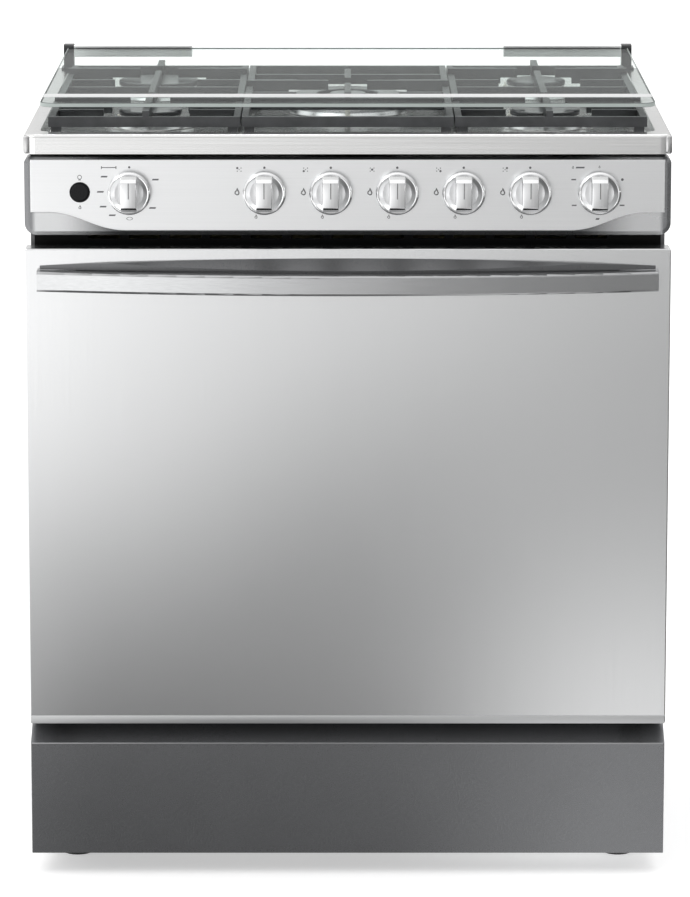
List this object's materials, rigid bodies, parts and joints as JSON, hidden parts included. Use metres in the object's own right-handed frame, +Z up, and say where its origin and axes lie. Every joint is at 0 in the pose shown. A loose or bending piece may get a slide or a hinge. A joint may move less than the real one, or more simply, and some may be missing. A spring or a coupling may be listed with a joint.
{
  "type": "freestanding gas range",
  "caption": "Freestanding gas range: silver oven door with a bowed handle, storage drawer, knob panel, gas hob with iron grates, and a hinged glass lid.",
  "frame": {"origin": "on the floor, under the middle of the range's overall box", "axes": "+Z up; the oven door, knobs and drawer face -Y; +X is to the right of someone facing the door"},
  "size_m": [0.76, 0.689, 0.933],
  "materials": {
    "silver_steel": "fine satin silver sheet",
    "dark_grey_paint": "satin dark grey paint",
    "bezel_grey": "satin grey moulding",
    "handle_silver": "brushed, bowed grip",
    "galvanised": "bare galvanised sheet",
    "drawer_enamel": "grey enamel",
    "black_enamel": "gloss black enamel",
    "mineral_wool": "resin-bonded mineral wool",
    "bright_wire": "bright plated wire",
    "burner_steel": "heat-dulled steel",
    "cast_aluminium": "sand-cast, machined crown",
    "cast_iron": "matt black enamelled iron",
    "black_rubber": "soft black rubber",
    "feet_plastic": "black nylon pad on a steel stem",
    "lid_glass": "clear tempered glass",
    "lid_aluminium": "satin anodised extrusion",
    "post_black": "black painted bracket",
    "white_ceramic": "white ceramic with a steel tip",
    "manifold_steel": "zinc plated pipe",
    "valve_brass": "machined brass",
    "electrics_plastic": "moulded case",
    "switch_black": "gloss black",
    "knob_silver": "satin chrome with a bright bevel"
  },
  "bodies": {
    "chassis": {"back_cover": "galvanised", "bake_burner": "burner_steel", "base_pan": "galvanised", "broil_burner": "burner_steel", "burner_caps": "black_enamel", "burner_head_centre": "cast_aluminium", "burner_heads_side": "cast_aluminium", "control_panel": "silver_steel", "cooktop": "silver_steel", "door_gasket": "black_rubber", "door_hinge_brackets": "galvanised", "drawer_rails": "galvanised", "flue_duct": "galvanised", "front_frame": "black_enamel", "gas_manifold": "manifold_steel", "gas_valves": "valve_brass", "grate_centre": "cast_iron", "grate_feet": "black_rubber", "grate_left": "cast_iron", "grate_right": "cast_iron", "igniters": "white_ceramic", "levelling_feet": "feet_plastic", "lid_hinge_posts": "post_black", "oven_floor": "black_enamel", "oven_insulation": "mineral_wool", "oven_lamp": "lid_glass", "oven_liner": "black_enamel", "oven_racks": "bright_wire", "panel_bezel": "bezel_grey", "rack_guides": "bright_wire", "side_panel_left": "dark_grey_paint", "side_panel_right": "dark_grey_paint", "spark_module": "electrics_plastic", "switch_housing": "switch_black", "timer": "electrics_plastic"},
    "oven_door": {"door_skin": "silver_steel", "door_liner": "black_enamel", "door_insulation": "mineral_wool", "door_handle": "handle_silver", "handle_backing": "bezel_grey", "door_hinge_arms": "galvanised"},
    "storage_drawer": {"drawer_front": "dark_grey_paint", "drawer_tray": "drawer_enamel"},
    "glass_lid": {"lid_glass": "lid_glass", "lid_rails": "lid_aluminium", "lid_trim": "lid_aluminium"},
    "push_oven": {"spindle_oven": "valve_brass"},
    "turn_oven": {"knob_oven": "knob_silver"},
    "push_left_rear": {"spindle_left_rear": "valve_brass"},
    "turn_left_rear": {"knob_left_rear": "knob_silver"},
    "push_left_front": {"spindle_left_front": "valve_brass"},
    "turn_left_front": {"knob_left_front": "knob_silver"},
    "push_centre": {"spindle_centre": "valve_brass"},
    "turn_centre": {"knob_centre": "knob_silver"},
    "push_right_front": {"spindle_right_front": "valve_brass"},
    "turn_right_front": {"knob_right_front": "knob_silver"},
    "push_right_rear": {"spindle_right_rear": "valve_brass"},
    "turn_right_rear": {"knob_right_rear": "knob_silver"},
    "turn_timer": {"knob_timer": "knob_silver"},
    "rocker": {"rocker_switch": "switch_black"}
  },
  "joints": [
    {"name": "oven_door_hinge", "type": "hinge", "parent": "chassis", "child": "oven_door", "pos_m": [0, -0.281, 0.1985], "axis": [1, 0, 0], "range_deg": [0, 90], "stiffness_Nm_per_rad": 9},
    {"name": "drawer_slide", "type": "slide", "parent": "chassis", "child": "storage_drawer", "axis": [0, -1, 0], "range_m": [0, 0.38]},
    {"name": "lid_hinge", "type": "hinge", "parent": "chassis", "child": "glass_lid", "pos_m": [0, 0.332, 0.922], "axis": [-1, 0, 0], "range_deg": [0, 95]},
    {"name": "push_oven", "type": "slide", "parent": "chassis", "child": "push_oven", "axis": [0, 1, 0], "range_m": [0, 0.0035], "stiffness_N_per_m": 1500, "springref_m": -0.002},
    {"name": "turn_oven", "type": "hinge", "parent": "push_oven", "child": "turn_oven", "pos_m": [-0.2558, -0.296, 0.83], "axis": [0, -1, 0], "range_deg": [0, 285]},
    {"name": "push_left_rear", "type": "slide", "parent": "chassis", "child": "push_left_rear", "axis": [0, 1, 0], "range_m": [0, 0.0035], "stiffness_N_per_m": 1500, "springref_m": -0.002},
    {"name": "turn_left_rear", "type": "hinge", "parent": "push_left_rear", "child": "turn_left_rear", "pos_m": [-0.0976, -0.296, 0.83], "axis": [0, -1, 0], "range_deg": [0, 210]},
    {"name": "push_left_front", "type": "slide", "parent": "chassis", "child": "push_left_front", "axis": [0, 1, 0], "range_m": [0, 0.0035], "stiffness_N_per_m": 1500, "springref_m": -0.002},
    {"name": "turn_left_front", "type": "hinge", "parent": "push_left_front", "child": "turn_left_front", "pos_m": [-0.01978, -0.296, 0.83], "axis": [0, -1, 0], "range_deg": [0, 210]},
    {"name": "push_centre", "type": "slide", "parent": "chassis", "child": "push_centre", "axis": [0, 1, 0], "range_m": [0, 0.0035], "stiffness_N_per_m": 1500, "springref_m": -0.002},
    {"name": "turn_centre", "type": "hinge", "parent": "push_centre", "child": "turn_centre", "pos_m": [0.05805, -0.296, 0.83], "axis": [0, -1, 0], "range_deg": [0, 210]},
    {"name": "push_right_front", "type": "slide", "parent": "chassis", "child": "push_right_front", "axis": [0, 1, 0], "range_m": [0, 0.0035], "stiffness_N_per_m": 1500, "springref_m": -0.002},
    {"name": "turn_right_front", "type": "hinge", "parent": "push_right_front", "child": "turn_right_front", "pos_m": [0.13587, -0.296, 0.83], "axis": [0, -1, 0], "range_deg": [0, 210]},
    {"name": "push_right_rear", "type": "slide", "parent": "chassis", "child": "push_right_rear", "axis": [0, 1, 0], "range_m": [0, 0.0035], "stiffness_N_per_m": 1500, "springref_m": -0.002},
    {"name": "turn_right_rear", "type": "hinge", "parent": "push_right_rear", "child": "turn_right_rear", "pos_m": [0.2137, -0.296, 0.83], "axis": [0, -1, 0], "range_deg": [0, 210]},
    {"name": "turn_timer", "type": "hinge", "parent": "chassis", "child": "turn_timer", "pos_m": [0.2947, -0.296, 0.83], "axis": [0, 1, 0], "range_deg": [0, 300]},
    {"name": "rocker_tilt", "type": "hinge", "parent": "chassis", "child": "rocker", "pos_m": [-0.314, -0.292, 0.83], "axis": [1, 0, 0], "range_deg": [-5, 5], "stiffness_Nm_per_rad": 0.6}
  ]
}
